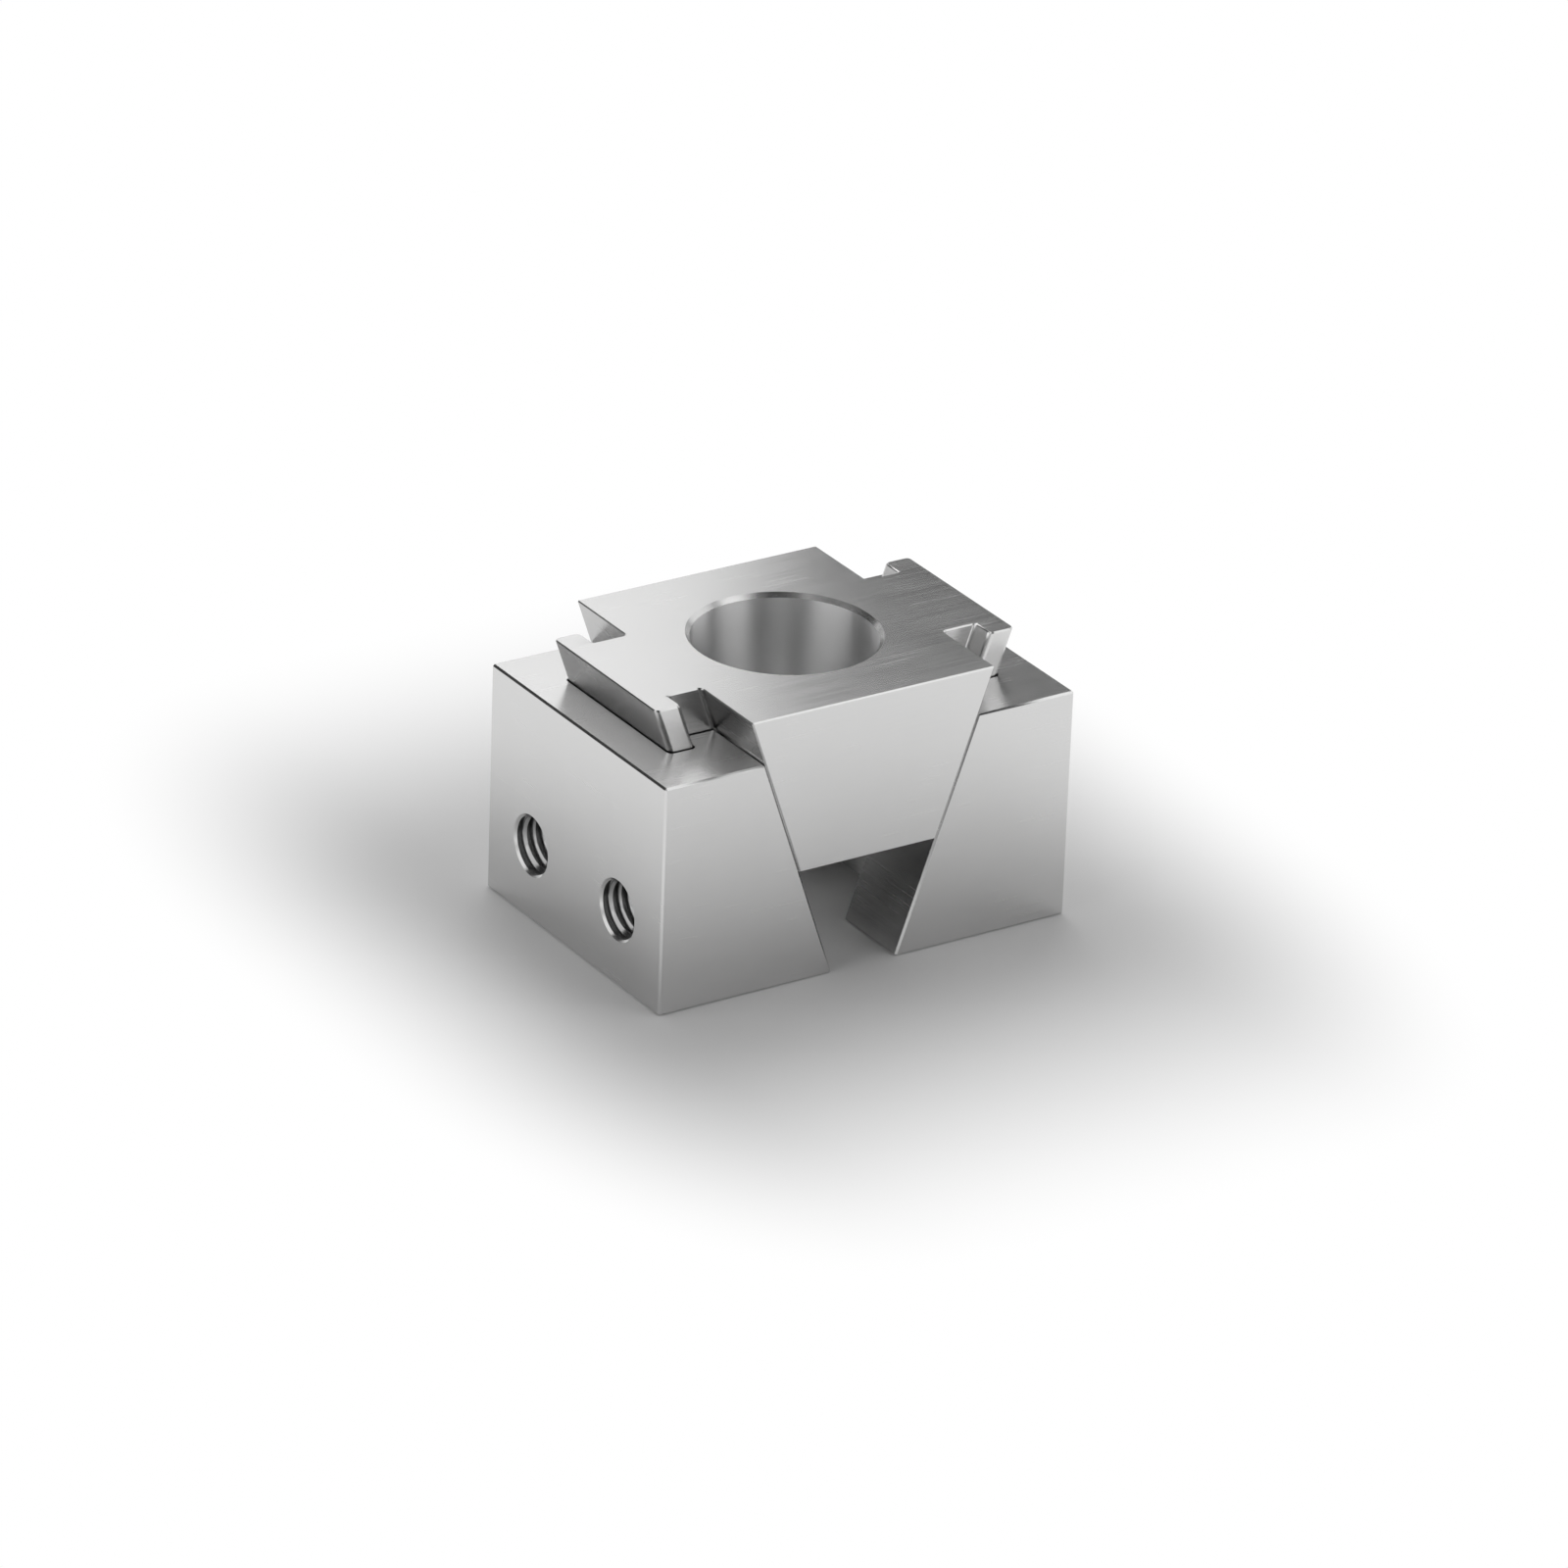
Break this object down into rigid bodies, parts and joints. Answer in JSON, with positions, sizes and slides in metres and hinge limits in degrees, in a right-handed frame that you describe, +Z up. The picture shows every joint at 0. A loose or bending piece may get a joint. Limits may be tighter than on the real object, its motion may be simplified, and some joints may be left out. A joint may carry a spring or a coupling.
{
  "type": "double wedge fixture clamp",
  "caption": "Steel wedge with T-shaped keys that slides down between two slotted jaws and spreads them to clamp work on both sides, with tapped holes for jaw plates.",
  "frame": {"origin": "centre of the clamp's footprint, on the surface the two jaws stand on", "axes": "+X along the clamping direction towards the right jaw, +Y along the slots' width, +Z up"},
  "size_m": [0.058, 0.04, 0.0359],
  "materials": {
    "wedge_steel": "finely ground",
    "jaw_steel": "finely ground"
  },
  "bodies": {
    "left_jaw": {"left_jaw": "jaw_steel"},
    "wedge": {"wedge": "wedge_steel"},
    "right_jaw": {"right_jaw": "jaw_steel"}
  },
  "joints": [
    {"name": "wedge_slide", "type": "slide", "parent": "left_jaw", "child": "wedge", "axis": [0.3338, 0, -0.9426], "range_m": [-0.0021, 0.0085]},
    {"name": "right_jaw_slide", "type": "slide", "parent": "wedge", "child": "right_jaw", "axis": [0.3338, 0, 0.9426], "range_m": [-0.0021, 0.0085]}
  ],
  "couplings": [
    {"joint": "right_jaw_slide", "follows": "wedge_slide", "ratio": 1}
  ]
}
